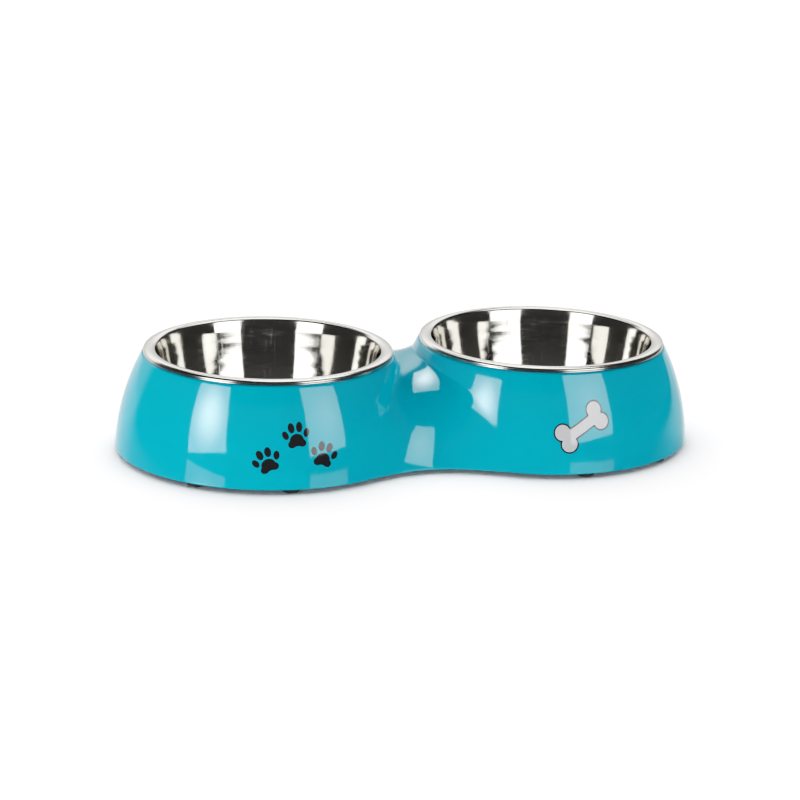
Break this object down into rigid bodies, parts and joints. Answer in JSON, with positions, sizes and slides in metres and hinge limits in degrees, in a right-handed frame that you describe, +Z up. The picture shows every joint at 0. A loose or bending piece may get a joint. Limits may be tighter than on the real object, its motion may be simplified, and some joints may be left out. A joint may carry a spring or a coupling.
{
  "type": "double pet bowl",
  "caption": "Low figure-eight pet feeder: a glossy moulded stand, open underneath, with lift-out steel food and water bowls hung by rolled rims, on small rubber feet.",
  "frame": {"origin": "on the floor under the middle of the stand, halfway between the two bowls", "axes": "+X along the line through both bowl axes towards the right bowl as seen from the front, -Y towards the front, +Z up along the bowl axes"},
  "size_m": [0.3312, 0.1712, 0.0592],
  "materials": {
    "stand_plastic": "glossy turquoise melamine",
    "bowl_steel": "mirror-polished stainless steel",
    "foot_rubber": "matt black rubber"
  },
  "bodies": {
    "stand": {"base_shell": "stand_plastic", "foot_front_left_inner": "foot_rubber", "foot_front_left_outer": "foot_rubber", "foot_front_right_inner": "foot_rubber", "foot_front_right_outer": "foot_rubber", "foot_back_left_inner": "foot_rubber", "foot_back_left_outer": "foot_rubber", "foot_back_right_inner": "foot_rubber", "foot_back_right_outer": "foot_rubber"},
    "left_bowl": {"bowl_left": "bowl_steel"},
    "right_bowl": {"bowl_right": "bowl_steel"}
  },
  "joints": [
    {"name": "left_bowl_lift", "type": "slide", "parent": "stand", "child": "left_bowl", "axis": [0, 0, 1], "range_m": [0, 0.06]},
    {"name": "right_bowl_lift", "type": "slide", "parent": "stand", "child": "right_bowl", "axis": [0, 0, 1], "range_m": [0, 0.06]}
  ]
}
